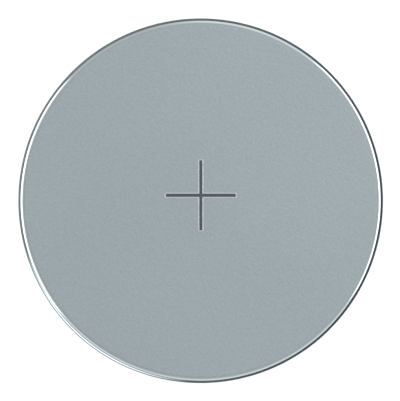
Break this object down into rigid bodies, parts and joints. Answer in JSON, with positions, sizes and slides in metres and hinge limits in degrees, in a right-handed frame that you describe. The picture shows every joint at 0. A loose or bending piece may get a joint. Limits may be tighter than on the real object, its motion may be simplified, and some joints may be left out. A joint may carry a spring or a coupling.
{
  "type": "lithium camera battery",
  "caption": "Short round lithium cell: a drawn steel can with a flat positive face, its mouth crimped over a black gasket that holds the flat negative cap. Powers a small camera.",
  "frame": {"origin": "centre of the negative contact, the flat face that the cell stands on", "axes": "+Z along the cell's axis, from the negative contact up to the positive face; X and Y lie along the bars of the plus sign on the positive face"},
  "size_m": [0.0116, 0.0116, 0.0108],
  "materials": {
    "can_nickel": "nickel-plated deep-drawn steel: fine matte grain on the positive face, satin on the wall",
    "gasket_plastic": "moulded black polypropylene, satin",
    "cap_nickel": "nickel-plated stamped steel, satin"
  },
  "bodies": {
    "root": {"positive_can": "can_nickel", "sealing_gasket": "gasket_plastic", "negative_cap": "cap_nickel"}
  },
  "joints": []
}
